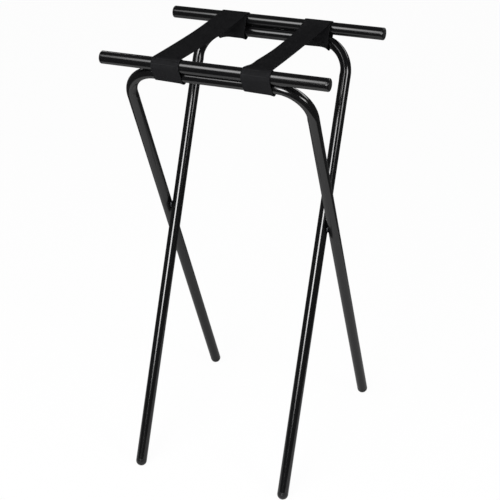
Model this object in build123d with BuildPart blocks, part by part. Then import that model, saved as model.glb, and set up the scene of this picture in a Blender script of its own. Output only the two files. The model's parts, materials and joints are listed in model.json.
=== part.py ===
"""Folding tray stand.

Two U frames of bent steel tube cross on a pair of rivets. The inner frame nests between the legs of the
outer one. Each frame carries a round bar across its top, and two webbing straps, looped round the bars,
stop the stand as it opens. It is modelled open, standing on Z = 0, with X along the bars and the pivot
above the origin. The outer frame's bar is on the -Y side and its feet are on the +Y side.
"""

import os
from math import asin, atan2, cos, hypot, pi, sin, sqrt

from build123d import *

# Stance of the open stand, in millimetres
bar_top_height = 787.0
bar_spread = 285.0
foot_spread = 393.0

# Round bars across the top
bar_tube_length = 398.0
bar_diameter = 22.0
bar_wall = 1.2

# Bent leg tubes
leg_diameter = 20.0
leg_wall = 1.2
inner_leg_spread = 285.0
bend_radius = 57.0

# Beads that weld each bar to the tube below it
weld_root_gap = 0.1
weld_length = 18.0
weld_offset = 66.0
weld_bead_radius = 3.5
weld_bead_reach = 4.5
weld_face_gap = 0.05

# Plugs that close the bars
plug_head = 4.0
plug_rim_radius = 2.6
plug_stem = 16.0
plug_clearance = 0.1

# Domed feet in the leg ends
foot_collar = 4.0
foot_stem = 22.0
foot_flat_depth = 0.5
foot_clearance = 0.1

# Pivot rivets and the washers between the legs
rivet_diameter = 6.0
rivet_clearance = 0.05
rivet_head_diameter = 9.0
rivet_head_height = 1.2
rivet_tail_diameter = 8.0
rivet_tail_height = 1.0
rivet_tail_chamfer = 0.4
rivet_seat_gap = 0.05
washer_diameter = 12.0
washer_thickness = 1.0
running_gap = 0.3

# Webbing straps
strap_width = 50.8
strap_thickness = 0.8
strap_offset = 80.0
strap_clearance = 0.1
strap_layer_gap = 0.2
strap_slack = 2.5
left_strap_sag = 3.6
right_strap_sag = 6.6

# Places worked out from the sizes above
bar_radius = bar_diameter / 2
leg_radius = leg_diameter / 2
bar_height = bar_top_height - bar_radius
foot_height = leg_radius - foot_flat_depth
frame_rise = bar_height - foot_height
frame_run = (bar_spread + foot_spread) / 2
frame_lean = atan2(frame_run, frame_rise)
leg_reach = hypot(frame_rise, frame_run)
pivot_height = bar_height - frame_rise * bar_spread / (bar_spread + foot_spread)
tube_drop = bar_radius + weld_root_gap + leg_radius
outer_leg_spread = inner_leg_spread + 2 * (leg_diameter + rivet_seat_gap + washer_thickness + running_gap)
rivet_hole_radius = rivet_diameter / 2 + rivet_clearance
loop_radius = bar_radius + strap_clearance
lap_radius = loop_radius + strap_thickness
span_height = bar_height + lap_radius + strap_layer_gap

# Side of a frame's bar along Y, with the spread of its legs
frames = {"outer": (-1, outer_leg_spread), "inner": (1, inner_leg_spread)}
hands = {"left": -1, "right": 1}
strap_sags = {"left": left_strap_sag, "right": right_strap_sag}


def save(piece, name):
    """Label a finished piece and write it to its own file."""
    piece.part.label = name
    export_step(piece.part, f"parts/{name}.step")


def outward(side):
    """Direction square to a frame, facing away from the other frame's bar."""
    return (0, side * cos(frame_lean), -sin(frame_lean))


def frame_plane(side, origin):
    """Plane of one frame, with its Y axis up the legs and its Z axis outward."""
    return Plane(origin=origin, x_dir=(-side, 0, 0), z_dir=outward(side))


def section_plane(side, along_bar):
    """Plane across a frame's bar, with its origin on the bar's axis, X outward and Y up the legs."""
    bar_middle = (along_bar, side * bar_spread / 2, bar_height)
    return Plane(origin=bar_middle, x_dir=outward(side), z_dir=(side, 0, 0))


def axle_plane(hand, origin):
    """Plane whose X axis runs along the bars, away from the middle, with its Y axis up."""
    return Plane(origin=origin, x_dir=(hand, 0, 0), z_dir=(0, -hand, 0))


def leg_frame(side, leg_spread):
    """U of bent tube, hollow, with a hole for the rivet through each leg."""
    half = leg_spread / 2
    tube_end = foot_collar - leg_reach
    plane = frame_plane(side, (0, side * bar_spread / 2, bar_height))
    with BuildPart() as frame:
        with BuildLine(plane) as path:
            FilletPolyline(
                (-half, tube_end), (-half, -tube_drop), (half, -tube_drop), (half, tube_end),
                radius=bend_radius
            )
        with BuildSketch(path.line ^ 0):
            Circle(leg_radius)
            Circle(leg_radius - leg_wall, mode=Mode.SUBTRACT)
        sweep(path=path.line)
        with BuildSketch(Plane.YZ):
            with Locations((0, pivot_height)):
                Circle(rivet_hole_radius)
        extrude(amount=half + leg_diameter, both=True, mode=Mode.SUBTRACT)
    return frame


def top_bar(side):
    """Straight tube that the tray rests on."""
    with BuildPart() as bar:
        with BuildSketch(Plane.YZ):
            with Locations((side * bar_spread / 2, bar_height)):
                Circle(bar_radius)
                Circle(bar_radius - bar_wall, mode=Mode.SUBTRACT)
        extrude(amount=bar_tube_length / 2, both=True)
    return bar


def weld_beads(side):
    """Four short beads in the valleys between a bar and its leg tube, under the straps."""
    with BuildPart() as beads:
        for hand in hands.values():
            with BuildSketch(section_plane(side, hand * weld_offset)):
                with Locations((-weld_bead_reach, -bar_radius), (weld_bead_reach, -bar_radius)):
                    Circle(weld_bead_radius)
                Circle(bar_radius + weld_face_gap, mode=Mode.SUBTRACT)
                with Locations((0, -tube_drop)):
                    Circle(leg_radius + weld_face_gap, mode=Mode.SUBTRACT)
            extrude(amount=weld_length / 2, both=True)
    return beads


def bar_plug(side, hand):
    """Plug with a rounded rim that closes one end of a bar."""
    stem_radius = bar_radius - bar_wall - plug_clearance
    end = (hand * bar_tube_length / 2, side * bar_spread / 2, bar_height)
    rim_start = plug_head - plug_rim_radius
    rim_mid = plug_rim_radius * sin(pi / 4)
    with BuildPart() as plug:
        with BuildSketch(axle_plane(hand, end)):
            with BuildLine():
                Polyline(
                    (plug_head, 0), (-plug_stem, 0), (-plug_stem, stem_radius), (0, stem_radius),
                    (0, bar_radius), (rim_start, bar_radius)
                )
                ThreePointArc(
                    (rim_start, bar_radius),
                    (rim_start + rim_mid, bar_radius - plug_rim_radius + rim_mid),
                    (plug_head, bar_radius - plug_rim_radius)
                )
                Line((plug_head, bar_radius - plug_rim_radius), (plug_head, 0))
            make_face()
        revolve(axis=Axis(end, (1, 0, 0)))
    return plug


def foot(side, along_bar):
    """Domed tip with a stem in the leg, worn flat where it meets the floor."""
    stem_radius = leg_radius - leg_wall - foot_clearance
    dome_centre = (along_bar, -side * foot_spread / 2, foot_height)
    plane = frame_plane(side, dome_centre)
    dome_mid = leg_radius * sin(pi / 4)
    with BuildPart() as tip:
        with BuildSketch(plane):
            with BuildLine():
                Polyline(
                    (0, -leg_radius), (0, foot_collar + foot_stem), (stem_radius, foot_collar + foot_stem),
                    (stem_radius, foot_collar), (leg_radius, foot_collar), (leg_radius, 0)
                )
                ThreePointArc((leg_radius, 0), (dome_mid, -dome_mid), (0, -leg_radius))
            make_face()
        revolve(axis=Axis(dome_centre, plane.y_dir))
        split(bisect_by=Plane.XY, keep=Keep.TOP)
    return tip


def pivot_rivet(hand):
    """Rivet through one pair of legs, with a domed head outside and an upset tail inside."""
    tail_face = inner_leg_spread / 2 - leg_radius - running_gap
    tail_end = tail_face - rivet_tail_height
    head_face = outer_leg_spread / 2 + leg_radius + rivet_seat_gap
    head_top = head_face + rivet_head_height
    head_radius = rivet_head_diameter / 2
    tail_radius = rivet_tail_diameter / 2
    shank_radius = rivet_diameter / 2
    cap_radius = (head_radius**2 + rivet_head_height**2) / (2 * rivet_head_height)
    cap_mid = head_top - cap_radius + sqrt(cap_radius**2 - (head_radius / 2) ** 2)
    pivot = (0, 0, pivot_height)
    with BuildPart() as rivet:
        with BuildSketch(axle_plane(hand, pivot)):
            with BuildLine():
                Polyline(
                    (head_top, 0), (tail_end, 0), (tail_end, tail_radius - rivet_tail_chamfer),
                    (tail_end + rivet_tail_chamfer, tail_radius), (tail_face, tail_radius),
                    (tail_face, shank_radius), (head_face, shank_radius), (head_face, head_radius)
                )
                ThreePointArc((head_face, head_radius), (cap_mid, head_radius / 2), (head_top, 0))
            make_face()
        revolve(axis=Axis(pivot, (1, 0, 0)))
    return rivet


def pivot_washer(hand):
    """Flat washer on the rivet, between the outer leg and the inner one."""
    outer_face = outer_leg_spread / 2 - leg_radius - rivet_seat_gap
    with BuildPart() as washer:
        with BuildSketch(Plane.YZ.offset(hand * outer_face)):
            with Locations((0, pivot_height)):
                Circle(washer_diameter / 2)
                Circle(rivet_hole_radius, mode=Mode.SUBTRACT)
        extrude(amount=-hand * washer_thickness)
    return washer


def bend_drop(leg_spread):
    """How much lower the underside of a bent tube lies at a strap's outer edge than at its middle."""
    into_bend = max(0, strap_offset + strap_width / 2 - (leg_spread / 2 - bend_radius))
    inside_radius = bend_radius - leg_radius
    return inside_radius - sqrt(inside_radius**2 - into_bend**2)


def strap_loop(side, hand, leg_spread):
    """Sewn end of a strap: it comes off the crest of the bar, goes down the outside, slackly under the leg
    tube and up the inside, and its tail lies on the bar under the crest, two layers thick there."""
    low = tube_drop + max(strap_slack, bend_drop(leg_spread))
    low_radius = leg_radius + strap_clearance
    low_outer = low_radius + strap_thickness
    crest_radius = lap_radius + strap_layer_gap + strap_thickness
    crest = pi / 2 + frame_lean
    inner_tangent = asin((low_radius - loop_radius) / low)
    outer_tangent = asin((low_outer - crest_radius) / low)

    def on_bar(radius, angle):
        return (radius * cos(angle), radius * sin(angle))

    def on_tube(radius, angle):
        return (radius * cos(angle), radius * sin(angle) - low)

    with BuildPart() as loop:
        with BuildSketch(section_plane(side, hand * strap_offset)):
            with BuildLine():
                Line(on_bar(lap_radius, crest), on_bar(crest_radius, crest))
                ThreePointArc(
                    on_bar(crest_radius, crest),
                    on_bar(crest_radius, (crest + outer_tangent) / 2),
                    on_bar(crest_radius, outer_tangent)
                )
                Line(on_bar(crest_radius, outer_tangent), on_tube(low_outer, outer_tangent))
                ThreePointArc(
                    on_tube(low_outer, outer_tangent),
                    on_tube(low_outer, -pi / 2),
                    on_tube(low_outer, pi - inner_tangent)
                )
                Line(on_tube(low_outer, pi - inner_tangent), on_bar(lap_radius, pi - inner_tangent))
                ThreePointArc(
                    on_bar(lap_radius, pi - inner_tangent),
                    on_bar(lap_radius, (pi - inner_tangent + crest) / 2),
                    on_bar(lap_radius, crest)
                )
            make_face()
            with BuildLine():
                Line(on_bar(loop_radius, inner_tangent), on_tube(low_radius, inner_tangent))
                ThreePointArc(
                    on_tube(low_radius, inner_tangent),
                    on_tube(low_radius, -pi / 2),
                    on_tube(low_radius, pi - inner_tangent)
                )
                Line(on_tube(low_radius, pi - inner_tangent), on_bar(loop_radius, pi - inner_tangent))
                ThreePointArc(
                    on_bar(loop_radius, pi - inner_tangent),
                    on_bar(loop_radius, pi / 2),
                    on_bar(loop_radius, inner_tangent)
                )
            make_face(mode=Mode.SUBTRACT)
        extrude(amount=strap_width / 2, both=True)
    return loop


def strap_span(side, hand, sag):
    """Half of a strap's run, from the crest of a bar to the middle of the stand, hanging in a parabola."""
    half = bar_spread / 2
    middle = (hand * strap_offset, 0, span_height)
    with BuildPart() as span:
        with BuildSketch(Plane(origin=middle, x_dir=(0, side, 0), z_dir=(side, 0, 0))):
            with BuildLine():
                Bezier((0, -sag), (half / 2, -sag), (half, 0))
                Line((half, 0), (half, strap_thickness))
                Bezier((half, strap_thickness), (half / 2, strap_thickness - sag), (0, strap_thickness - sag))
                Line((0, strap_thickness - sag), (0, -sag))
            make_face()
        extrude(amount=strap_width / 2, both=True)
    return span


os.makedirs("parts", exist_ok=True)

for frame_name, (side, leg_spread) in frames.items():
    save(leg_frame(side, leg_spread), f"{frame_name}_leg_frame")
    save(top_bar(side), f"{frame_name}_top_bar")
    save(weld_beads(side), f"{frame_name}_weld_beads")
    for hand_name, hand in hands.items():
        save(bar_plug(side, hand), f"{frame_name}_bar_plug_{hand_name}")
        save(foot(side, hand * leg_spread / 2), f"{frame_name}_foot_{hand_name}")
        save(strap_loop(side, hand, leg_spread), f"strap_{hand_name}_{frame_name}_loop")
        save(strap_span(side, hand, strap_sags[hand_name]), f"strap_{hand_name}_{frame_name}_span")

for hand_name, hand in hands.items():
    save(pivot_rivet(hand), f"pivot_rivet_{hand_name}")
    save(pivot_washer(hand), f"pivot_washer_{hand_name}")
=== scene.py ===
"""Looks of a folding tray stand: gloss black bent tube, black webbing straps, and a pale studio.

Sizes are in metres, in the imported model's own frame: Z up, the floor at Z = 0, X along the bars. The outer
frame's bar is on the -Y side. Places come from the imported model, and so do the sizes that it shows.
"""

import json
import logging
import math
from dataclasses import dataclass
from enum import Enum
from functools import cached_property
from typing import Any

import bpy
import numpy as np
from mathutils import Matrix, Quaternion, Vector
from numpy.typing import NDArray


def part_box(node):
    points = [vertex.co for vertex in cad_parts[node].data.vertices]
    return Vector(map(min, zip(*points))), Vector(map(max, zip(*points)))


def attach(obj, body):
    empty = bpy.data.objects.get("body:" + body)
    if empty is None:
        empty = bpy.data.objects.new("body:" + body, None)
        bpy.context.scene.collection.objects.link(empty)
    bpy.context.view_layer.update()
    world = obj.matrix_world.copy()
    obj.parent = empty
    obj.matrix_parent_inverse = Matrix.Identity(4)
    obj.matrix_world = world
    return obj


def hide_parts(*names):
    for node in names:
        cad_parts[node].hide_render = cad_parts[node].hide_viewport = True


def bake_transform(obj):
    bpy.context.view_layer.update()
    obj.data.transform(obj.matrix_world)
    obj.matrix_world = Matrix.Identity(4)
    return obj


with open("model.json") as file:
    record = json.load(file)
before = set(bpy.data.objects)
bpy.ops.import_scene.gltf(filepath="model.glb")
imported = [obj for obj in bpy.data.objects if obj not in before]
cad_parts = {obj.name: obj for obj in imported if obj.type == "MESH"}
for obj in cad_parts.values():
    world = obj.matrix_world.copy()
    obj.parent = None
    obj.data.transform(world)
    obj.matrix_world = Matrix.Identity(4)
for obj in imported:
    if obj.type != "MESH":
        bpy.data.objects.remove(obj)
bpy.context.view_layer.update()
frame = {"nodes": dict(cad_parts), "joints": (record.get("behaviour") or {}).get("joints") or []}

Array = NDArray[np.float64]
Inputs = dict[str | int, Any]

LOG = logging.getLogger("tray_stand")
WEAVE_MAP = "weave"
SHARP_ANGLE = math.radians(35)
MM = 0.001
# Corners of a face that isn't a cap
CORNERS = 4
# Rings in the quarter round of a tube's rolled edge
EDGE_RINGS = 4
# Sockets of a Mix node that mixes colours, whose names its other kinds share
MIX_FACTOR, MIX_FIRST, MIX_SECOND, MIX_COLOUR = 0, 6, 7, 2
# Octaves of the noise that mottles a hard finish, that grains it, and that fades cloth
MOTTLE_DETAIL, GRAIN_DETAIL, WEAR_DETAIL = 4.0, 2.0, 5.0
# Levels that nearly all of a noise lies between
NOISE_LOW, NOISE_HIGH = 0.3, 0.7
# Height of a row of bricks, in the brick pattern's own units
BRICK_ROW = 0.25


class Side(Enum):
    """A leg frame, by the side of the stand that its bar is on, along Y."""

    OUTER = -1
    INNER = 1

    @property
    def label(self) -> str:
        """First word of the names of this frame's nodes."""
        return self.name.lower()

    @property
    def body(self) -> str:
        """Name of the body that this frame's pieces ride on."""
        return f"{self.label}_frame"


class Hand(Enum):
    """The left or the right of the stand, along X."""

    LEFT = -1
    RIGHT = 1

    @property
    def label(self) -> str:
        """Word for this hand in the names of nodes."""
        return self.name.lower()


def linear(code: str) -> tuple[float, ...]:
    """Turn an sRGB hex colour such as "#1a1a1c" into linear light, with an alpha of 1.

    Args:
        code: six hex digits after a hash.

    Returns:
        Red, green, blue and alpha, by the sRGB curve: a straight toe, then a power of 2.4.
    """
    shares = np.array([int(code[i:i + 2], 16) for i in (1, 3, 5)]) / 255
    light = np.where(shares <= 0.04045, shares / 12.92, ((shares + 0.055) / 1.055) ** 2.4)
    return (*light.tolist(), 1.0)


def add_node(tree: bpy.types.NodeTree, kind: str, inputs: Inputs, **settings: Any) -> bpy.types.Node:
    """Add one node to a tree.

    Args:
        tree: the tree that gets it.
        kind: Blender's name for the kind of node.
        inputs: by input name or number, a value to set or an output socket to link.
        settings: the node's own properties.

    Returns:
        The new node.
    """
    node = tree.nodes.new(kind)
    for name, value in settings.items():
        setattr(node, name, value)
    for socket, value in inputs.items():
        if isinstance(value, bpy.types.NodeSocket):
            tree.links.new(value, node.inputs[socket])
        else:
            node.inputs[socket].default_value = value
    return node


def new_material(name: str) -> tuple[bpy.types.Material, bpy.types.NodeTree]:
    """Make a material with an empty node tree.

    Args:
        name: the material's name.

    Returns:
        The material and its tree.
    """
    material = bpy.data.materials.new(name)
    material.use_nodes = True
    material.node_tree.nodes.clear()
    return material, material.node_tree


def add_object(name: str, data: bpy.types.ID) -> bpy.types.Object:
    """Make an object at the origin from its data, and link it to the scene.

    Args:
        name: the object's name.
        data: its mesh, lamp or camera.

    Returns:
        The object.
    """
    made = bpy.data.objects.new(name, data)
    bpy.context.scene.collection.objects.link(made)
    return made


def grid(*parts: Array | float) -> Array:
    """Put coordinates together as the last axis of the grid that they span."""
    return np.stack(np.broadcast_arrays(*parts), axis=-1)


def ring(count: int) -> Array:
    """Angles of points that lie evenly round a ring."""
    return np.linspace(0, 2 * math.pi, count, endpoint=False)


def smoothstep(share: Array) -> Array:
    """Ease from 0 to 1 as a share does: three squares less two cubes, held outside that range."""
    held = np.clip(share, 0, 1)
    return held * held * (3 - 2 * held)


@dataclass(frozen=True)
class HardFinish:
    """A hard finish with a mottled colour, a mottled gloss and a fine surface grain.

    Attributes:
        name: what the material is and how its surface was made.
        dark: the colour in the hollows of the mottle.
        pale: the colour on the crests of the mottle.
        mottle: width of one patch of the mottle.
        gloss: the least and the most roughness.
        grain: width of one bump of the grain.
        depth: height of the grain's bumps.
        ior: index of refraction, which sets how much a face seen square on reflects.
        metallic: 1 for a bare metal.
    """

    name: str
    dark: str
    pale: str
    mottle: float
    gloss: tuple[float, float]
    grain: float
    depth: float
    ior: float = 1.5
    metallic: float = 0.0

    def material(self) -> bpy.types.Material:
        """Mix two colours and two roughnesses by a wide noise, and bump the surface by a fine one.

        Returns:
            The material, on Object coordinates, which are metres in the stand's frame.
        """
        material, tree = new_material(self.name)
        place = add_node(tree, "ShaderNodeTexCoord", {}).outputs["Object"]
        patches, bumps = (
            add_node(
                tree, "ShaderNodeTexNoise", {"Vector": place, "Scale": 1 / width, "Detail": detail}
            ).outputs["Fac"]
            for width, detail in ((self.mottle, MOTTLE_DETAIL), (self.grain, GRAIN_DETAIL))
        )
        colour = add_node(
            tree, "ShaderNodeMix",
            {MIX_FACTOR: patches, MIX_FIRST: linear(self.dark), MIX_SECOND: linear(self.pale)},
            data_type="RGBA"
        )
        gloss = add_node(
            tree, "ShaderNodeMapRange",
            {
                "Value": patches,
                "From Min": NOISE_LOW,
                "From Max": NOISE_HIGH,
                "To Min": self.gloss[0],
                "To Max": self.gloss[1],
            }
        )
        relief = add_node(
            tree, "ShaderNodeBump", {"Height": bumps, "Distance": self.depth, "Strength": 1.0}
        )
        surface = add_node(
            tree, "ShaderNodeBsdfPrincipled",
            {
                "Base Color": colour.outputs[MIX_COLOUR],
                "Roughness": gloss.outputs["Result"],
                "Normal": relief.outputs["Normal"],
                "IOR": self.ior,
                "Metallic": self.metallic,
            }
        )
        add_node(tree, "ShaderNodeOutputMaterial", {"Surface": surface.outputs["BSDF"]})
        return material


@dataclass(frozen=True)
class WovenFinish:
    """Flat woven webbing, whose warp shows as rows of short crowns along the strap.

    Attributes:
        name: what the material is and how its surface was made.
        valley: the colour between the threads, darker than the crowns: painted shade in the grooves.
        crown: the colour on top of the threads.
        row: width of one row of crowns across the strap.
        crown_length: length of one crown along the strap.
        relief: height of a crown above the valleys.
        wear: width of one patch of the slight fading.
        roughness: roughness of the fibres.
    """

    name: str
    valley: str
    crown: str
    row: float
    crown_length: float
    relief: float
    wear: float
    roughness: float

    def material(self) -> bpy.types.Material:
        """Lay staggered crowns on the strap's own map, in metres across and along it.

        A brick pattern with its rows along the strap gives the crowns. Its mortar is half a row wide and
        fades all the way, so each brick becomes a rounded crown.

        Returns:
            The material.
        """
        material, tree = new_material(self.name)
        cloth = add_node(tree, "ShaderNodeUVMap", {}, uv_map=WEAVE_MAP).outputs["UV"]
        parts = add_node(tree, "ShaderNodeSeparateXYZ", {"Vector": cloth})
        turned = add_node(tree, "ShaderNodeCombineXYZ", {"X": parts.outputs["Y"], "Y": parts.outputs["X"]})
        valleys = add_node(
            tree, "ShaderNodeTexBrick",
            {
                "Vector": turned.outputs["Vector"],
                "Scale": BRICK_ROW / self.row,
                "Brick Width": BRICK_ROW * self.crown_length / self.row,
                "Row Height": BRICK_ROW,
                "Mortar Size": BRICK_ROW / 2,
                "Mortar Smooth": 1.0,
            }
        ).outputs["Fac"]
        fading = add_node(
            tree, "ShaderNodeTexNoise", {"Vector": cloth, "Scale": 1 / self.wear, "Detail": WEAR_DETAIL}
        ).outputs["Fac"]
        # The valleys' darker colour is painted shade in the grooves between threads, and the fading noise
        # varies it in patches.
        shade = add_node(tree, "ShaderNodeMath", {0: valleys, 1: fading}, operation="MULTIPLY")
        colour = add_node(
            tree, "ShaderNodeMix",
            {
                MIX_FACTOR: shade.outputs["Value"],
                MIX_FIRST: linear(self.crown),
                MIX_SECOND: linear(self.valley),
            },
            data_type="RGBA"
        )
        relief = add_node(
            tree, "ShaderNodeBump",
            {"Height": valleys, "Distance": self.relief, "Strength": 1.0}, invert=True
        )
        surface = add_node(
            tree, "ShaderNodeBsdfPrincipled",
            {
                "Base Color": colour.outputs[MIX_COLOUR],
                "Normal": relief.outputs["Normal"],
                "Roughness": self.roughness,
                "Specular IOR Level": 0.0,
            }
        )
        add_node(tree, "ShaderNodeOutputMaterial", {"Surface": surface.outputs["BSDF"]})
        return material


# Stove enamel flows out to a wet gloss before it is baked, so tubes mirror the studio in long clean lines.
# Its grain is a faint orange peel.
ENAMEL = HardFinish(
    name="black stove enamel on steel tube", dark="#060607", pale="#0c0c0d", mottle=60 * MM,
    gloss=(0.11, 0.15), grain=5 * MM, depth=0.006 * MM, ior=1.55
)
# A weld keeps its ripples under the enamel, so its gloss is broken.
WELD = HardFinish(
    name="black enamel over weld", dark="#060607", pale="#0c0c0d", mottle=8 * MM,
    gloss=(0.2, 0.35), grain=1.6 * MM, depth=0.15 * MM
)
# ABS from a polished mould shines almost as the enamel does, so a bar's line of light runs on over its end.
PLUG = HardFinish(
    name="polished black ABS", dark="#070708", pale="#0e0e0f", mottle=12 * MM,
    gloss=(0.13, 0.18), grain=3 * MM, depth=0.004 * MM, ior=1.53
)
# Nylon tips wear to a satin where they meet the floor.
TIP = HardFinish(
    name="moulded black nylon", dark="#0b0b0c", pale="#141415", mottle=9 * MM,
    gloss=(0.22, 0.36), grain=0.5 * MM, depth=0.01 * MM
)
# The rivets are painted with the tube, and their heads keep small hammer marks.
RIVET = HardFinish(
    name="painted steel rivet", dark="#08080a", pale="#161618", mottle=4 * MM,
    gloss=(0.25, 0.4), grain=1.5 * MM, depth=0.04 * MM
)
# Zinc that has gone dull gives the washers a soft grey edge between the dark legs.
ZINC = HardFinish(
    name="dulled zinc plated steel", dark="#55575a", pale="#737578", mottle=3 * MM,
    gloss=(0.5, 0.62), grain=0.6 * MM, depth=0.01 * MM, metallic=1.0
)
# Bonded thread has a waxy line of light along each stitch.
THREAD = HardFinish(
    name="bonded black polyester thread", dark="#0e0e0f", pale="#1b1b1c", mottle=2 * MM,
    gloss=(0.45, 0.6), grain=0.3 * MM, depth=0.03 * MM
)
# Spun polypropylene is matte and deep black. The valleys between the crowns of its warp are painted a little
# darker than the crowns, as painted shade in the grooves.
# Its thread is about 1.2 mm wide, and it is drawn at 1.8 mm so that the weave still shows from two metres.
WEBBING = WovenFinish(
    name="woven black polypropylene", valley="#141416", crown="#212122", row=1.8 * MM,
    crown_length=4.5 * MM, relief=0.25 * MM, wear=35 * MM, roughness=0.9
)


@dataclass
class Skin:
    """Closed skins, each a stack of rings of points with both end rings capped.

    Attributes:
        points: skins x rings x points round a ring x 3.
        weave: for cloth, rings x (points round a ring + 1) x 2, in metres across and along it.
    """

    points: Array
    weave: Array | None = None

    def faces(self) -> tuple[NDArray[np.int64], NDArray[np.int64]]:
        """Number the corners of the sides and of the caps.

        A side joins a point, the next one round its ring, and the same two on the next ring. Skins that
        enclose a negative volume are inside out, so their corners are taken the other way.

        Returns:
            Sides, as rows of four corners, and caps, as rows of a whole ring.
        """
        count, rings, around, _ = self.points.shape
        number = np.arange(count * rings * around).reshape(count, rings, around)
        following = np.roll(number, -1, axis=2)
        sides = np.stack(
            [number[:, :-1], following[:, :-1], following[:, 1:], number[:, 1:]], axis=-1
        ).reshape(-1, CORNERS)
        caps = np.concatenate([number[:, 0, ::-1], number[:, -1]])
        centred = self.points - self.points.mean(axis=(1, 2), keepdims=True)
        a, b, c, d = (centred.reshape(-1, 3)[sides[:, i]] for i in range(CORNERS))
        volume = (np.cross(a, b) * c).sum() + (np.cross(a, c) * d).sum()
        if volume < 0:
            sides, caps = sides[:, ::-1], caps[:, ::-1]
        return sides, caps

    def piece(self, name: str, material: bpy.types.Material) -> bpy.types.Object:
        """Put the skins into one mesh and link it to the scene.

        Args:
            name: the piece's name.
            material: its finish.

        Returns:
            The new object, at the origin, shaded smooth up to SHARP_ANGLE.
        """
        sides, caps = self.faces()
        mesh = bpy.data.meshes.new(name)
        mesh.from_pydata(self.points.reshape(-1, 3).tolist(), [], sides.tolist() + caps.tolist())
        mesh.materials.append(material)
        mesh.shade_smooth()
        mesh.set_sharp_from_angle(angle=SHARP_ANGLE)
        if self.weave is not None:
            self.map_weave(mesh)
        LOG.info("%s: %d points, %s", name, len(mesh.vertices), material.name)
        return add_object(name, mesh)

    def map_weave(self, mesh: bpy.types.Mesh) -> None:
        """Give each corner of the mesh its place on the flat cloth.

        The map's last column stands for a ring's first point at the end of a turn. A corner takes it where
        its side also holds the ring's last point, so no side spans the whole map.

        Args:
            mesh: the mesh of a single skin.
        """
        around = self.points.shape[2]
        corner = np.zeros(len(mesh.loops), np.int32)
        mesh.loops.foreach_get("vertex_index", corner)
        starts = np.zeros(len(mesh.polygons), np.int32)
        mesh.polygons.foreach_get("loop_start", starts)
        sizes = np.diff(np.append(starts, len(corner)))
        row, column = np.divmod(corner, around)
        highest = np.repeat(np.maximum.reduceat(column, starts), sizes)
        seam = (column == 0) & (highest == around - 1) & (np.repeat(sizes, sizes) == CORNERS)
        place = self.weave[row, np.where(seam, around, column)]
        mesh.uv_layers.new(name=WEAVE_MAP).uv.foreach_set("vector", place.astype(np.float32).ravel())


def fold_pivot() -> Vector:
    """Place of the pivot that the frames fold about, on the rivets' axis and between them."""
    return Vector(next(joint["pos_m"] for joint in frame["joints"] if joint["name"] == "fold"))


@dataclass(frozen=True)
class LegPlane:
    """The leaning plane of one leg frame, measured from the middle of its bar.

    Attributes:
        side: which frame it is.
        bar: the middle of the bar's axis.
        bar_radius: radius of the bar.
        tube_radius: radius of the bent tube, which its feet share.
        half_spread: half the distance between the axes of the legs.
        lean: angle of the legs from upright.
    """

    side: Side
    bar: Vector
    bar_radius: float
    tube_radius: float
    half_spread: float
    lean: float

    @classmethod
    def of(cls, side: Side) -> "LegPlane":
        """Measure a frame's plane, whose legs run from the bar's axis through the pivot of the fold.

        Args:
            side: which frame it is.

        Returns:
            The plane.
        """
        low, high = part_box(f"{side.label}_top_bar")
        foot_low, foot_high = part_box(f"{side.label}_foot_left")
        legs_low, legs_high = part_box(f"{side.label}_leg_frame")
        bar = (low + high) / 2
        pivot = fold_pivot()
        tube_radius = (foot_high.x - foot_low.x) / 2
        return cls(
            side=side, bar=bar, bar_radius=(high.z - low.z) / 2, tube_radius=tube_radius,
            half_spread=(legs_high.x - legs_low.x) / 2 - tube_radius,
            lean=math.atan2(abs(bar.y - pivot.y), bar.z - pivot.z)
        )

    @property
    def crest(self) -> float:
        """Angle from the outward direction, towards the bar, of the highest line along the bar."""
        return math.pi / 2 + self.lean

    def place(self, along: Array, up: Array, outward: Array) -> Array:
        """Turn distances in the plane's own directions into points.

        Args:
            along: distance along X.
            up: distance up the legs.
            outward: distance square to the frame, away from the other frame's bar.

        Returns:
            Points, with one more axis, of three, than the distances have together.
        """
        slope, rise = self.side.value * math.sin(self.lean), math.cos(self.lean)
        y = self.bar.y + up * slope + outward * self.side.value * rise
        z = self.bar.z + up * rise - outward * math.sin(self.lean)
        return grid(self.bar.x + along, y, z)


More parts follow.
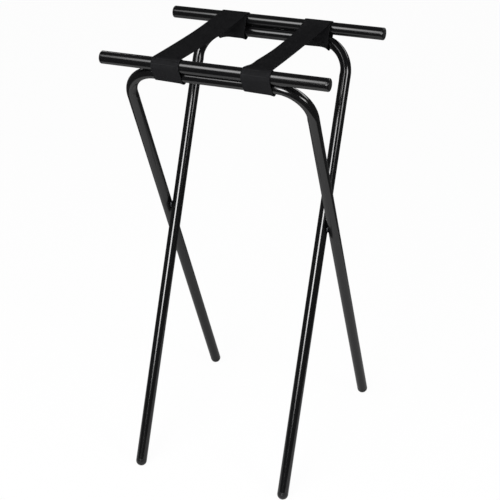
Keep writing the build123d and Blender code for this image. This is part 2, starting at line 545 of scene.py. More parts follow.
@dataclass(frozen=True)
class TubeFrame:
    """One U of bent tube, with the bar on top of it.

    Attributes:
        side: which frame it is.
        bend_radius: radius of the tube's middle line in its bends.
        weld_gap: gap between the bar and the tube, where the weld runs.
        end_round: radius of the rolled edge at a tube's end.
        past_edge: distance from a tube's end to the first ring past its rolled edge, which is close to the
            edge so that the edge's shading doesn't spread along the tube.
        inside_flat: share of its radius that the tube loses on the inside of a bend.
        outside_flat: share of its radius that the tube loses on the outside of a bend.
        side_swell: share of its radius that the tube gains on the flanks of a bend.
        flat_run: length over which a bend's flattening comes and goes.
        crease: height of the small crease on the inside of a bend, where the leg begins.
        crease_below: distance of the crease below the end of the bend.
        crease_width: half width of the crease along the leg.
        crease_reach: length of leg that has close rings, for the crease.
        leg_rings: rings on a leg below its close ones.
        crease_rings: close rings on a leg.
        bend_rings: rings in a bend.
        run_rings: rings on half of the top run.
        bar_rings: rings on the bar.
        around: points round a tube.
    """

    side: Side
    bend_radius: float = 57 * MM
    weld_gap: float = 0.1 * MM
    end_round: float = 0.4 * MM
    past_edge: float = 0.8 * MM
    inside_flat: float = 0.07
    outside_flat: float = 0.025
    side_swell: float = 0.02
    flat_run: float = 14 * MM
    crease: float = 0.45 * MM
    crease_below: float = 3 * MM
    crease_width: float = 4 * MM
    crease_reach: float = 24 * MM
    leg_rings: int = 40
    crease_rings: int = 24
    bend_rings: int = 40
    run_rings: int = 12
    bar_rings: int = 40
    around: int = 72

    def build(self, enamel: bpy.types.Material) -> None:
        """Make the bent tube and the bar, and let them stand for their nodes.

        Args:
            enamel: finish of the tubes.
        """
        plane = LegPlane.of(self.side)
        tubes = (
            (self.leg_skin(plane), "bent_tube", "leg_frame", "coated_tube"),
            (self.bar_skin(plane), "bar_tube", "top_bar", "coated_bar"),
        )
        for skin, name, node, slot in tubes:
            piece = skin.piece(f"{self.side.label}_{name}", enamel)
            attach(piece, self.side.body)
            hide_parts(f"{self.side.label}_{node}")

    def rolled_edge(self) -> tuple[Array, Array]:
        """Quarter round at a tube's end: setback from the end and inset from the outside, going inwards."""
        turn = np.linspace(0, math.pi / 2, EDGE_RINGS)
        return self.end_round * (1 - np.cos(turn)), self.end_round * (1 - np.sin(turn))

    def leg_skin(self, plane: LegPlane) -> Skin:
        """Carry a nearly round profile up one leg, round the two bends and down the other leg.

        In the frame's plane, a bend is a quarter circle about a centre that lies the bend's radius in from
        the leg and under the top run. At an angle t from the inside of the bend, the profile's radius is
        r (1 - w (i max(cos t, 0)^2 + o max(-cos t, 0)^2 - s sin(t)^2)), where w is 1 in a bend and fades at
        its ends, plus a bell-shaped crease on the inside just below each bend.

        Args:
            plane: the frame's plane.

        Returns:
            The skin.
        """
        low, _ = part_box(f"{self.side.label}_leg_frame")
        radius, half, bend = plane.tube_radius, plane.half_spread, self.bend_radius
        drop = plane.bar_radius + self.weld_gap + radius
        bend_start = drop + bend
        end_height = low.z + radius * math.sin(plane.lean)
        leg_end = (plane.bar.z - end_height) / math.cos(plane.lean)

        setback, edge = self.rolled_edge()
        fine = bend_start + self.crease_reach
        leg = np.concatenate([
            leg_end - setback,
            np.linspace(leg_end - self.past_edge, fine, self.leg_rings),
            np.linspace(fine, bend_start, self.crease_rings)[1:],
        ])
        turn = np.linspace(math.pi, math.pi / 2, self.bend_rings)[1:]
        run = np.linspace(half - bend, 0, self.run_rings)[1:]
        arc_length = bend * math.pi / 2
        bend_along, bend_up = bend * (1 + np.cos(turn)) - half, bend * np.sin(turn) - bend_start
        half_line = np.concatenate([
            grid(-half, -leg, math.pi, bend_start - leg),
            grid(bend_along, bend_up, turn, bend * (math.pi - turn)),
            grid(-run, -drop, math.pi / 2, arc_length),
        ])
        other_half = half_line[-2::-1] * (-1, 1, -1, 1) + (0, 0, math.pi, 0)
        along, up, facing, past = np.concatenate([half_line, other_half]).T[:, :, None]
        inset = np.zeros_like(along)
        inset[:len(edge), 0] = edge
        inset[-len(edge):, 0] = edge[::-1]

        around = ring(self.around)
        inside, outside = np.maximum(np.cos(around), 0), np.maximum(-np.cos(around), 0)
        bent = smoothstep(past / self.flat_run) * smoothstep((arc_length - past) / self.flat_run)
        flat = self.inside_flat * inside**2 + self.outside_flat * outside**2
        flat = flat - self.side_swell * np.sin(around) ** 2
        bell = np.exp(-(((past + self.crease_below) / self.crease_width) ** 2))
        reach = radius * (1 - bent * flat) + self.crease * bell * inside**4 - inset
        inward = reach * np.cos(around)
        points = plane.place(
            along - np.cos(facing) * inward, up - np.sin(facing) * inward, reach * np.sin(around)
        )
        return Skin(points[None])

    def bar_skin(self, plane: LegPlane) -> Skin:
        """Carry a circle along the bar, with a rolled edge at each end.

        Args:
            plane: the frame's plane.

        Returns:
            The skin.
        """
        low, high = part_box(f"{self.side.label}_top_bar")
        setback, edge = self.rolled_edge()
        middle = np.linspace(low.x + self.past_edge, high.x - self.past_edge, self.bar_rings)
        x = np.concatenate([low.x + setback, middle, (high.x - setback)[::-1]])[:, None]
        inset = np.concatenate([edge, np.zeros_like(middle), edge[::-1]])[:, None]
        around = ring(self.around)
        reach = plane.bar_radius - inset
        y, z = plane.bar.y + reach * np.cos(around), plane.bar.z + reach * np.sin(around)
        return Skin(grid(x, y, z)[None])


@dataclass(frozen=True)
class PivotRivet:
    """A rivet through one pair of legs, with a thin head bent round the outer leg and a low domed tail.

    Attributes:
        hand: which rivet it is.
        head_radius: radius of the head.
        tail_radius: radius of the tail.
        shank_radius: radius of the shank.
        proud: how far the head and the tail stand out of the tubes.
        sink: how deep the head's rim goes into the tube.
        shares: shares of the radius that have a ring, on the head and on the tail.
        around: points round it.
    """

    hand: Hand
    head_radius: float = 4.5 * MM
    tail_radius: float = 4 * MM
    shank_radius: float = 3 * MM
    proud: float = 0.35 * MM
    sink: float = 0.3 * MM
    shares: tuple[float, ...] = (0.02, 0.3, 0.55, 0.75, 0.88, 0.96, 1.0)
    around: int = 40

    def build(self, paint: bpy.types.Material) -> None:
        """Make the rivet and let it stand for its node.

        Args:
            paint: its finish.
        """
        piece = self.skin().piece(f"rivet_{self.hand.label}", paint)
        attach(piece, Side.OUTER.body)
        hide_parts(f"pivot_rivet_{self.hand.label}")

    def skin(self) -> Skin:
        """Turn a profile about the pivot's axis: the head, the shank, and the tail inside the inner leg.

        At a share s of its radius, the head stands 1 - s^4 of its height off the outer leg, whose side lies
        sqrt(r^2 - b^2) from its axis at a distance b across it. The tail is a parabola in s, which ends at
        the level of the inner leg's side at b equal to the tail's radius, so it suits any angle of the
        fold.

        Returns:
            The skin.
        """
        pivot, plane = fold_pivot(), LegPlane.of(Side.OUTER)
        radius, outer_axis = plane.tube_radius, plane.half_spread
        inner_axis = LegPlane.of(Side.INNER).half_spread
        share = np.array(self.shares)[:, None]
        turn = ring(self.around)
        leg_across = plane.side.value * np.cos(turn) * math.cos(plane.lean)
        leg_across = leg_across - np.sin(turn) * math.sin(plane.lean)
        seat = outer_axis + np.sqrt(radius**2 - (self.head_radius * share * leg_across) ** 2)
        head = seat + self.proud * (1 - share**4)
        fall = radius - math.sqrt(radius**2 - self.tail_radius**2)
        tail = inner_axis - radius - self.proud + (self.proud + fall) * share[::-1] ** 2
        ones = np.ones((1, self.around))
        x = np.concatenate([
            head, seat[-1:] - self.sink, outer_axis * ones, inner_axis * ones, tail * ones
        ])
        reach = np.concatenate([
            self.head_radius * share, [[self.head_radius], [self.shank_radius], [self.shank_radius]],
            self.tail_radius * share[::-1]
        ])
        y, z = pivot.y + reach * np.cos(turn), pivot.z + reach * np.sin(turn)
        return Skin(grid(pivot.x + self.hand.value * x, y, z)[None])


@dataclass(frozen=True)
class Slack:
    """The slack that one strap shows.

    Attributes:
        left_sag: how far the run's left edge sags.
        right_sag: how far the run's right edge sags.
        sag_at: share of the way from the outer bar to the inner one where it sags most.
        powers: how suddenly the sag begins at the outer bar and at the inner one, where 2 is a parabola.
        hang: for each frame, how far the wrap on it hangs below the tube, at its left and right edges.
        fold: depth of the fold in the run's left edge, beside the outer bar.
        fold_at: share of the way from the outer bar to the inner one where that fold is deepest.
        fold_reach: share of the way over which it fades.
    """

    left_sag: float
    right_sag: float
    sag_at: float
    powers: tuple[float, float]
    hang: dict[Side, tuple[float, float]]
    fold: float = 0.0
    fold_at: float = 0.12
    fold_reach: float = 0.06

    def sag(self, along: Array, across: Array) -> Array:
        """Depth of the run below a straight line from crest to crest.

        On each side of its deepest place p it is 1 - |u|^n, where u goes from 0 at p to 1 at the bar, times
        a depth that goes evenly from the left edge's to the right edge's. The fold is a bell along the run,
        which fades with the square of the share that is left to the right edge.

        Args:
            along: share of the way from the outer bar to the inner one.
            across: share of the way from the left edge to the right edge.

        Returns:
            The sag.
        """
        past = along - self.sag_at
        near = np.clip(-past / self.sag_at, 0, 1) ** self.powers[0]
        far = np.clip(past / (1 - self.sag_at), 0, 1) ** self.powers[1]
        fold = self.fold * np.exp(-(((along - self.fold_at) / self.fold_reach) ** 2)) * (1 - across) ** 2
        return (1 - near - far) * (self.left_sag + (self.right_sag - self.left_sag) * across) + fold


@dataclass(frozen=True)
class StrapEnd:
    """One end of a webbing strap: a sewn wrap round a frame's bar and tube, and half of the run.

    Attributes:
        hand: which strap it belongs to.
        side: the frame that it goes round.
        slack: how slack the strap is.
        thickness: thickness of the webbing.
        clearance: gap between the webbing and the steel.
        layer_gap: gap between two layers of webbing.
        tail_angle: angle above the frame's outward direction where the tail ends, under the outer layer.
        bend_over: length of run that bends over the bar as the stand folds.
        corner_droop: how far the wrap's lower right corner droops.
        corner_share: share of the width over which it droops.
        across: points across the width, on each face.
        selvedge_points: points round a selvedge, with the first and last of them on the faces.
        run_rows: rows along half of the run.
        run_crowding: power that crowds those rows towards the bar.
        wrap_rows: rows over the bar, under the tube and along the tail.
        straight_rows: rows along a straight stretch of the wrap, with the ones that it shares at its ends.
        seams: distances of the rows of stitches from the crest, along the outer layer.
        seam_margin: distance from a row's end to the edge of the webbing.
        stitch_pitch: distance from one stitch to the next.
        stitch_length: length of one stitch.
        stitch_sink: how deep a stitch's ends lie below its middle.
        stitch_end: share of a stitch's half length where it is capped.
        stitch_rings: rings along a stitch.
        thread_radius: radius of the thread.
        thread_around: points round the thread.
    """

    hand: Hand
    side: Side
    slack: Slack
    thickness: float = 0.8 * MM
    clearance: float = 0.1 * MM
    layer_gap: float = 0.2 * MM
    tail_angle: float = math.radians(10)
    # bend_over: length of run meant to bend over the bar as the stand folds; not used.
    bend_over: float = 14 * MM
    corner_droop: float = 1.4 * MM
    corner_share: float = 0.15
    across: int = 32
    selvedge_points: int = 6
    run_rows: int = 90
    run_crowding: float = 1.5
    wrap_rows: tuple[int, int, int] = (32, 36, 44)
    straight_rows: int = 14
    seams: tuple[float, ...] = (6 * MM, 16 * MM)
    seam_margin: float = 3.5 * MM
    stitch_pitch: float = 3.2 * MM
    stitch_length: float = 2.5 * MM
    stitch_sink: float = 0.4 * MM
    stitch_end: float = 0.98
    stitch_rings: int = 7
    thread_radius: float = 0.25 * MM
    thread_around: int = 8

    def name(self, word: str) -> str:
        """Name of one of this end's nodes or pieces."""
        return f"strap_{self.hand.label}_{self.side.label}_{word}"

    @cached_property
    def plane(self) -> LegPlane:
        """Plane of the frame that it goes round."""
        return LegPlane.of(self.side)

    @cached_property
    def width(self) -> float:
        """Width of the webbing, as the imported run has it."""
        low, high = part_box(self.name("span"))
        return high.x - low.x

    @cached_property
    def middle(self) -> float:
        """Place of the strap's middle along X."""
        low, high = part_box(self.name("span"))
        return (low.x + high.x) / 2

    @property
    def radii(self) -> tuple[float, float, float]:
        """Distances of the cloth's middle from the axes that it goes round.

        Returns:
            For the tail on the bar, for the outer layer over it, and for the turn under the tube.
        """
        half_cloth = self.thickness / 2
        inner = self.plane.bar_radius + self.clearance + half_cloth
        outer = inner + self.thickness + self.layer_gap
        return inner, outer, self.plane.tube_radius + self.clearance + half_cloth

    def profile(self) -> tuple[Array, Array]:
        """Section of the webbing: flat faces, with the selvedges as half circles.

        Returns:
            Distances across from the middle of the strap, and heights above the middle of the cloth.
        """
        round_edge = self.thickness / 2
        flat = np.linspace(-1, 1, self.across) * (self.width / 2 - round_edge)
        turn = np.linspace(math.pi / 2, -math.pi / 2, self.selvedge_points)[1:-1]
        right = flat[-1] + round_edge * np.cos(turn)
        rise = round_edge * np.sin(turn)
        face = np.full_like(flat, round_edge)
        return np.concatenate([flat, right, flat[::-1], -right]), np.concatenate([face, rise, -face, -rise])

    def build(self, webbing: bpy.types.Material, thread: bpy.types.Material) -> None:
        """Make half of the run, the stitches and the wrap.

        Args:
            webbing: finish of the cloth.
            thread: finish of the stitches.
        """
        self.build_run(webbing)
        stitches = self.build_stitches(thread)
        self.build_wrap(webbing)

    def build_run(self, webbing: bpy.types.Material) -> None:
        """Make the half of the run that leaves the bar.

        The cloth leaves the crest of the bar at the outer layer's height, and falls below it by the sag.

        Args:
            webbing: finish of the cloth.
        """
        low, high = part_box(self.name("span"))
        bar_y, middle_y = (low.y, high.y) if self.side is Side.OUTER else (high.y, low.y)
        across, rise = self.profile()
        steps = np.linspace(0, 1, self.run_rows)[:, None]
        y = bar_y + (middle_y - bar_y) * steps**self.run_crowding
        sag = self.slack.sag(0.5 + y / (2 * abs(bar_y - middle_y)), across / self.width + 0.5)
        crest = self.plane.bar.z + self.radii[1]
        points = grid(self.middle + across, y, crest + rise - sag)
        weave = grid(np.append(across, across[0]), y)
        piece = Skin(points[None], weave).piece(self.name("run"), webbing)
        self.name("span")
        self.middle
        self.middle
        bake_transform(piece)
        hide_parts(self.name("span"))
        self.width
        self.name("loop")

    def wrap_drop(self, across: Array) -> Array:
        """Depth of the wrap's lower turn below the bar's axis.

        The wrap follows the underside of the tube, which falls by r - sqrt(r^2 - d^2) at a distance d into
        a bend whose inside has the radius r. It hangs below that by an even slope from its left edge to its
        right one, and its right corner droops.

        Args:
            across: distances across from the middle of the strap.

        Returns:
            Distances down the legs, one for each distance across.
        """
        plane = self.plane
        bend_start = plane.half_spread - TubeFrame.bend_radius
        into_bend = np.maximum(np.abs(self.middle + across) - bend_start, 0)
        inside_radius = TubeFrame.bend_radius - plane.tube_radius
        fall = inside_radius - np.sqrt(inside_radius**2 - into_bend**2)
        left, right = self.slack.hang[self.side]
        share = across / self.width + 0.5
        corner = self.corner_droop * smoothstep(1 - (1 - share) / self.corner_share)
        hang = left + (right - left) * share + corner
        return plane.bar_radius + TubeFrame.weld_gap + plane.tube_radius + fall + hang

    def wrap_line(self, across: Array) -> Array:
        """Middle of the cloth round a bar and the tube below it, in the plane across them.

        It goes over the bar at the outer layer's radius, straight on to the tube, round under it, straight
        back up, and over the bar again at the inner layer's radius, where the tail ends under the outer
        layer. A straight stretch leaves a circle where both circles have the same tangent: at the angle
        whose sine is the difference of their radii over the distance between their centres.

        Args:
            across: distances across from the middle of the strap.

        Returns:
            Outward and up distances from the bar's axis, each as rows along the cloth by columns across it.
        """
        inner, outer, under = self.radii
        drop = self.wrap_drop(across)
        leave = np.arcsin((under - outer) / drop)
        back = np.arcsin((under - inner) / drop)
        turns = [
            (outer, self.plane.crest, leave, 0),
            (under, leave, -math.pi - back, drop),
            (inner, math.pi - back, self.tail_angle, 0),
        ]
        arcs = []
        for (radius, start, stop, fall), count in zip(turns, self.wrap_rows):
            turn = start + np.linspace(0, 1, count)[:, None] * (stop - start)
            arcs.append(np.stack([radius * np.cos(turn), radius * np.sin(turn) - fall]))
        share = np.linspace(0, 1, self.straight_rows)[1:-1, None]
        down, up_again = (a[:, -1:] * (1 - share) + b[:, :1] * share for a, b in zip(arcs, arcs[1:]))
        return np.concatenate([arcs[0], down, arcs[1], up_again, arcs[2]], axis=1)

    def build_wrap(self, webbing: bpy.types.Material) -> None:
        """Make the sewn wrap round the bar and the tube.

        Each point of the section stands off the middle of the cloth by its height, square to the cloth.

        Args:
            webbing: finish of the cloth.
        """
        plane = self.plane
        across, rise = self.profile()
        out, up = self.wrap_line(across)
        out_step, up_step = (np.gradient(line, axis=0, edge_order=2) for line in (out, up))
        step = np.hypot(out_step, up_step)
        points = plane.place(self.middle + across, up + rise * out_step / step, out - rise * up_step / step)
        length = np.concatenate([[0], np.cumsum(np.hypot(np.diff(out[:, 0]), np.diff(up[:, 0])))])
        along = self.side.value * (abs(plane.bar.y) + length)
        weave = grid(np.append(across, across[0]), along[:, None])
        piece = Skin(points[None], weave).piece(self.name("wrap"), webbing)
        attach(piece, self.side.body)
        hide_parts(self.name("loop"))
        self.width

    def build_stitches(self, thread: bpy.types.Material) -> bpy.types.Object:
        """Sew rows of stitches across the wrap, where its tail lies under the outer layer.

        At a share u from -1 to 1 along a stitch, its middle lies u^2 of the sink into the cloth, and its
        radius is the thread's times the square root of 1 - u^4.

        Args:
            thread: finish of the stitches.

        Returns:
            All the stitches of one wrap, as one piece.
        """
        plane = self.plane
        surface = self.radii[1] + self.thickness / 2
        reach = self.width / 2 - self.seam_margin
        columns = np.arange(-reach, reach - self.stitch_length, self.stitch_pitch) + self.stitch_length / 2
        rows = plane.crest - np.array(self.seams) / surface
        place, angle = (cells.reshape(-1, 1, 1) for cells in np.meshgrid(columns, rows))
        share = np.linspace(-self.stitch_end, self.stitch_end, self.stitch_rings)[:, None]
        turn = ring(self.thread_around)
        thick = self.thread_radius * np.sqrt(1 - share**4)
        height = surface - self.stitch_sink * share**2 + thick * np.cos(turn)
        beside = thick * np.sin(turn)
        points = plane.place(
            self.middle + place + share * self.stitch_length / 2,
            height * np.sin(angle) - beside * np.cos(angle),
            height * np.cos(angle) + beside * np.sin(angle)
        )
        piece = Skin(points).piece(self.name("stitches"), thread)
        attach(piece, self.side.body)
        return piece


def toward(azimuth: Array | float, elevation: Array | float) -> Array:
    """Direction at an azimuth, in degrees from -Y towards +X, and an elevation, in degrees above level."""
    turn, rise = np.radians(azimuth), np.radians(elevation)
    return grid(np.sin(turn) * np.cos(rise), -np.cos(turn) * np.cos(rise), np.sin(rise))


@dataclass(frozen=True)
class Lamp:
    """A lamp that faces the stand.

    Attributes:
        name: what it is.
        azimuth: degrees from straight in front of the outer bar, towards +X.
        elevation: degrees above the floor.
    """

    name: str
    azimuth: float
    elevation: float

    def hang(self, data: bpy.types.Light, place: Vector, tilt: float = 0.0) -> bpy.types.Object:
        """Hang a lamp where it faces the stand and the camera doesn't see it.

        Args:
            data: the lamp.
            place: where it hangs.
            tilt: degrees that its top leans towards lower azimuths.

        Returns:
            The lamp's object.
        """
        facing = Vector(-toward(self.azimuth, self.elevation)).to_track_quat("-Z", "Y")
        holder = add_object(data.name, data)
        holder.location = place
        holder.rotation_euler = (facing @ Quaternion((0, 0, 1), math.radians(tilt))).to_euler()
        holder.visible_camera = False
        return holder


@dataclass(frozen=True)
class SoftBox(Lamp):
    """An oval lamp, brightest in its middle.

    Attributes:
        distance: distance from the point that it faces.
        size: width and height, to where it is half as bright as in its middle.
        radiance: brightness of its middle, where 1 is as bright as a white card that renders white.
        rim: how gently it fades, as a share of its half size.
        tilt: degrees that its top leans towards lower azimuths.
        layers: ovals that it is made of.
        apart: distance from one oval to the next, so that reflections see them all.
    """

    distance: float
    size: tuple[float, float]
    radiance: float
    rim: float
    tilt: float = 0.0
    layers: int = 3
    apart: float = 5 * MM

    def build(self, aim: Vector) -> None:
        """Hang the lamp and turn it to the stand.

        At r half sizes from its middle, the radiance is the full one over 1 + exp((r - 1) / rim). Ovals of
        equal radiance that lie in one another add up to that, each as large as r is where the fading passes
        its middle level. A flat lamp's power is pi times its area times its radiance.

        Args:
            aim: the point that it faces.
        """
        away = Vector(toward(self.azimuth, self.elevation))
        for i in range(self.layers):
            level = (i + 0.5) / self.layers
            share = 1 + self.rim * math.log(1 / level - 1)
            lamp = bpy.data.lights.new(f"{self.name} {i + 1}", "AREA")
            lamp.shape = "ELLIPSE"
            lamp.size, lamp.size_y = (share * length for length in self.size)
            area = math.pi * lamp.size * lamp.size_y / 4
            lamp.energy = math.pi * area * self.radiance / self.layers
            self.hang(lamp, aim + away * (self.distance + i * self.apart), self.tilt)


@dataclass(frozen=True)
class SoftSun(Lamp):
    """A broad far lamp, which lights the whole floor alike and shows in no reflection.

    Attributes:
        spread: degrees that it takes up in the sky.
        irradiance: its light on a face square to it, where pi is enough to render a white card white.
    """

    spread: float
    irradiance: float

    def build(self, aim: Vector) -> None:
        """Hang the lamp over the stand.

        Args:
            aim: the point that it faces.
        """
        lamp = bpy.data.lights.new(self.name, "SUN")
        lamp.energy = self.irradiance
        lamp.angle = math.radians(self.spread)
        self.hang(lamp, aim).visible_glossy = False


def lay_sheet(name: str, points: Array, material: bpy.types.Material) -> bpy.types.Object:
    """Put a sheet into the studio, apart from the stand.

    Args:
        name: what it is.
        points: its grid, rows x columns x 3.
        material: its finish.

    Returns:
        The sheet.
    """
    number = np.arange(points[..., 0].size).reshape(points.shape[:2])
    faces = np.stack([number[:-1, :-1], number[1:, :-1], number[1:, 1:], number[:-1, 1:]], axis=-1)
    mesh = bpy.data.meshes.new(name)
    mesh.from_pydata(points.reshape(-1, 3).tolist(), [], faces.reshape(-1, CORNERS).tolist())
    mesh.materials.append(material)
    sheet = add_object(name, mesh)
    return sheet


def hang_glow(name: str, points: Array, glow: float) -> None:
    """Hang a glowing sheet in the studio, which only reflections see.

    Args:
        name: what it is made of.
        points: its grid, rows x columns x 3.
        glow: its brightness, where 1 renders white.
    """
    material, tree = new_material(name)
    light = add_node(tree, "ShaderNodeEmission", {"Strength": glow})
    add_node(tree, "ShaderNodeOutputMaterial", {"Surface": light.outputs["Emission"]})
    sheet = lay_sheet(name, points, material)
    sheet.visible_camera = False
    sheet.visible_diffuse = False
    sheet.visible_transmission = False
    sheet.visible_shadow = False


@dataclass(frozen=True)
class Drape:
    """A dim sheet round the set that only reflections see: painted dark reflections on the tubes' edges.

    Attributes:
        opening: radius of the bare floor round the stand.
        reach: radius of its wall.
        height: height of its ceiling.
        lift: height of its skirt above the floor.
        grey: its brightness.
        around: faces round it.
    """

    opening: float = 0.8
    reach: float = 7.0
    height: float = 5.0
    lift: float = 2 * MM
    grey: float = 0.08
    around: int = 64

    def build(self) -> None:
        """Turn the profile of a skirt, a wall and a ceiling about Z."""
        radius = np.array([self.opening, self.reach, self.reach, 0])
        height = np.array([self.lift, self.lift, self.height, self.height])
        turn = np.linspace(0, 2 * math.pi, self.around + 1)[:, None]
        points = grid(radius * np.cos(turn), radius * np.sin(turn), height)
        hang_glow("dark studio cloth", points, self.grey)


@dataclass(frozen=True)
class Card:
    """A pale card behind the stand, which lines the gloss tubes with light where they are seen from behind.

    Attributes:
        azimuths: degrees from straight in front of the outer bar, towards +X, of its two ends.
        elevations: degrees above level of its lower and its upper edge.
        distance: distance from the point that it faces.
        glow: its brightness, where 1 renders white.
        columns: points along it.
        rows: points up it.
    """

    azimuths: tuple[float, float]
    elevations: tuple[float, float] = (28.0, 42.0)
    distance: float = 3.0
    glow: float = 4.0
    columns: int = 16
    rows: int = 4

    def build(self, aim: Vector) -> None:
        """Bend the card round the stand, on a sphere about the point that it faces.

        Args:
            aim: the point that it faces.
        """
        azimuth = np.linspace(*self.azimuths, self.columns)[:, None]
        away = toward(azimuth, np.linspace(*self.elevations, self.rows))
        hang_glow("white card", np.array(aim) + self.distance * away, self.glow)


@dataclass(frozen=True)
class Studio:
    """Pale floor, white room, lamps, cards, a dim sheet of painted dark reflection, and the camera.

    Attributes:
        floor_size: length of the floor's sides.
        floor_colour: colour of the floor.
        floor_roughness: roughness of the floor's paint.
        floor_sink: how far the floor lies below the feet, so that their flats don't flicker in it.
        floor_white: share of plain white in the floor, as the camera and reflections see it.
        floor_shade: the least and the most brightness of that white, as only reflections see it.
        shade_azimuth: degrees from -Y towards +X, of the side where it is brightest.
        shade_reach: distance from the stand's middle where it is darkest and brightest.
        room_colour: colour of the room.
        room_white: brightness of the room, as the camera sees it.
        room_light: brightness of the room, as it lights the stand.
        aim: the point that the lamps and cards face.
        lights: the lamps, and the cards behind the stand.
        eye: the camera's place.
        eye_azimuth: the camera's azimuth about the stand, in degrees from -Y towards +X.
        eye_elevation: the camera's elevation, in degrees.
        eye_roll: the camera's roll, in degrees.
        lens: focal length in millimetres.
        sensor: width of the camera's sensor in millimetres.
    """

    floor_size: float = 60.0
    floor_colour: str = "#f0f0f0"
    floor_roughness: float = 0.5
    floor_sink: float = 0.2 * MM
    floor_white: float = 0.96
    floor_shade: tuple[float, float] = (0.06, 1.0)
    shade_azimuth: float = 13.0
    shade_reach: float = 0.8
    room_colour: str = "#ffffff"
    room_white: float = 0.98
    room_light: float = 0.24
    aim: tuple[float, float, float] = (0.0, 0.0, 0.42)
    lights: tuple[SoftBox | SoftSun | Card, ...] = (
        SoftBox("front softbox", 0.8, 21.0, 3.1, (1.15, 1.15), 18.5, rim=0.14),
        SoftBox("upper softbox", -24.5, 47, 1.97, (0.64, 0.9), 7.3, rim=0.29, tilt=21),
        SoftBox("side softbox", 66, 26, 2.2, (0.49, 0.46), 16.0, rim=0.5),
        Card((122, 180)),
        Card((-142, -118)),
        SoftSun("overhead softbox", 75, 68, 70, 0.3),
    )
    eye: tuple[float, float, float] = (0.8552, -2.0193, 1.4742)
    eye_azimuth: float = 22.903
    eye_elevation: float = 26.41
    eye_roll: float = -0.809
    lens: float = 95.805
    sensor: float = 36.0

    def build(self) -> None:
        """Set the floor, the room, the lights and the camera."""
        self.build_floor()
        self.build_room()
        # A dim sheet that only reflections see paints dark reflections on the tubes' edges.
        Drape().build()
        for light in self.lights:
            light.build(Vector(self.aim))
        self.build_camera()
        bpy.context.scene.view_settings.view_transform = "Standard"

    def seen_share(self, tree: bpy.types.NodeTree) -> bpy.types.NodeSocket:
        """Tell what is seen from what only lights: 1 for the camera, for reflections and for clear pieces.

        Args:
            tree: the tree that gets the nodes.

        Returns:
            A socket that is 1 or 0, the sum of three kinds of ray of which a ray is one at most.
        """
        path = add_node(tree, "ShaderNodeLightPath", {}).outputs
        seen = add_node(tree, "ShaderNodeMath", {0: path["Is Camera Ray"], 1: path["Is Glossy Ray"]})
        seen = add_node(
            tree, "ShaderNodeMath",
            {0: seen.outputs["Value"], 1: path["Is Transmission Ray"]}, use_clamp=True
        )
        return seen.outputs["Value"]

    def build_floor(self) -> None:
        """Lay one flat sheet of matte paint under the feet, with a share of plain white where it is seen.

        For reflections, that white fades evenly across the floor, from the bright side to the one behind.
        """
        material, tree = new_material("matte studio floor paint")
        paint = add_node(
            tree, "ShaderNodeBsdfDiffuse",
            {"Color": linear(self.floor_colour), "Roughness": self.floor_roughness}
        )
        place = add_node(tree, "ShaderNodeTexCoord", {}).outputs["Object"]
        bright_side = toward(self.shade_azimuth, 0)
        along = add_node(tree, "ShaderNodeVectorMath", {0: place, 1: bright_side}, operation="DOT_PRODUCT")
        shade = add_node(
            tree, "ShaderNodeMapRange",
            {
                "Value": along.outputs["Value"],
                "From Min": -self.shade_reach,
                "From Max": self.shade_reach,
                "To Min": self.floor_shade[0],
                "To Max": self.floor_shade[1],
            }
        )
        mirrored = add_node(tree, "ShaderNodeLightPath", {}).outputs["Is Glossy Ray"]
        strength = add_node(
            tree, "ShaderNodeMapRange",
            {"Value": mirrored, "To Min": 1.0, "To Max": shade.outputs["Result"]}
        )
        white = add_node(tree, "ShaderNodeEmission", {"Strength": strength.outputs["Result"]})
        share = add_node(
            tree, "ShaderNodeMath", {0: self.seen_share(tree), 1: self.floor_white}, operation="MULTIPLY"
        )
        blend = add_node(
            tree, "ShaderNodeMixShader",
            {0: share.outputs["Value"], 1: paint.outputs["BSDF"], 2: white.outputs["Emission"]}
        )
        add_node(tree, "ShaderNodeOutputMaterial", {"Surface": blend.outputs["Shader"]})
        ends = np.array([-0.5, 0.5]) * self.floor_size
        lay_sheet("floor", grid(ends[:, None], ends, -self.floor_sink), material)

    def build_room(self) -> None:
        """Fill the room with one plain colour, brighter where it is seen than where it lights the stand."""
        world = bpy.data.worlds.new("room")
        world.use_nodes = True
        tree = world.node_tree
        tree.nodes.clear()
        light = add_node(
            tree, "ShaderNodeMapRange",
            {"Value": self.seen_share(tree), "To Min": self.room_light, "To Max": self.room_white}
        )
        glow = add_node(
            tree, "ShaderNodeBackground",
            {"Color": linear(self.room_colour), "Strength": light.outputs["Result"]}
        )
        add_node(tree, "ShaderNodeOutputWorld", {"Surface": glow.outputs["Background"]})
        bpy.context.scene.world = world

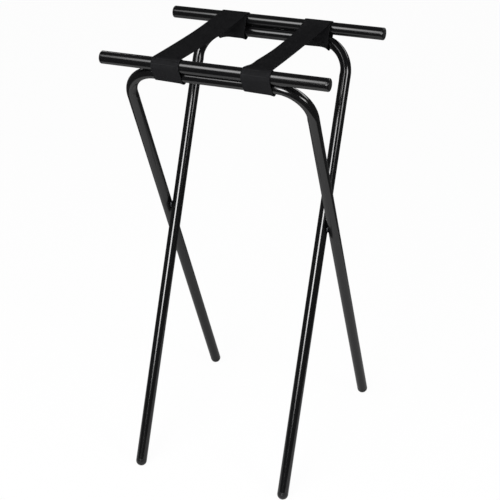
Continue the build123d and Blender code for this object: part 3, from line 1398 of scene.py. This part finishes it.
    def build_camera(self) -> None:
        """Stand the camera where the stand was photographed from.

        Its back points away from the stand at its azimuth and elevation, its right is level, and both right
        and up then turn about the back by the roll.
        """
        roll = math.radians(self.eye_roll)
        back = Vector(toward(self.eye_azimuth, self.eye_elevation))
        level = Vector((-back.y, back.x, 0)).normalized()
        over = back.cross(level)
        right = level * math.cos(roll) + over * math.sin(roll)
        up = over * math.cos(roll) - level * math.sin(roll)
        data = bpy.data.cameras.new("camera")
        data.lens = self.lens
        data.sensor_width = self.sensor
        camera = add_object("camera", data)
        camera.matrix_world = Matrix.Translation(self.eye) @ Matrix((right, up, back)).transposed().to_4x4()
        bpy.context.scene.camera = camera


# The left strap hangs evenly. The right one is twisted, so its left edge hangs lower than its right.
SLACK = {
    Hand.LEFT: Slack(
        left_sag=3.6 * MM, right_sag=4.6 * MM, sag_at=0.55, powers=(1.5, 1.7),
        hang={Side.OUTER: (0.8 * MM, 2.6 * MM), Side.INNER: (3 * MM, 3.4 * MM)}
    ),
    Hand.RIGHT: Slack(
        left_sag=11 * MM, right_sag=2.4 * MM, sag_at=0.55, powers=(1.8, 4.0),
        hang={Side.OUTER: (1.2 * MM, 3 * MM), Side.INNER: (2.8 * MM, 2 * MM)}, fold=1.8 * MM
    ),
}


def dress_nodes(finishes: dict[str, HardFinish]) -> None:
    """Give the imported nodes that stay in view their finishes.

    Args:
        finishes: for a word in a node's name, its finish.
    """
    for word, finish in finishes.items():
        material = finish.material()
        for name, node in frame["nodes"].items():
            if word in name:
                node.material_slots[0].material = material
                LOG.info("%s: %s", name, material.name)


def main() -> None:
    """Build the studio, the two frames and the two straps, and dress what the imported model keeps."""
    logging.basicConfig(level=logging.INFO, format="%(message)s")
    Studio().build()
    enamel = ENAMEL.material()
    for side in Side:
        TubeFrame(side).build(enamel)
    webbing, thread = WEBBING.material(), THREAD.material()
    for hand, slack in SLACK.items():
        for side in Side:
            StrapEnd(hand, side, slack).build(webbing, thread)
    paint = RIVET.material()
    for hand in Hand:
        PivotRivet(hand).build(paint)
    dress_nodes({"weld_beads": WELD, "bar_plug": PLUG, "foot": TIP, "pivot_washer": ZINC})


if __name__ == "__main__":
    main()
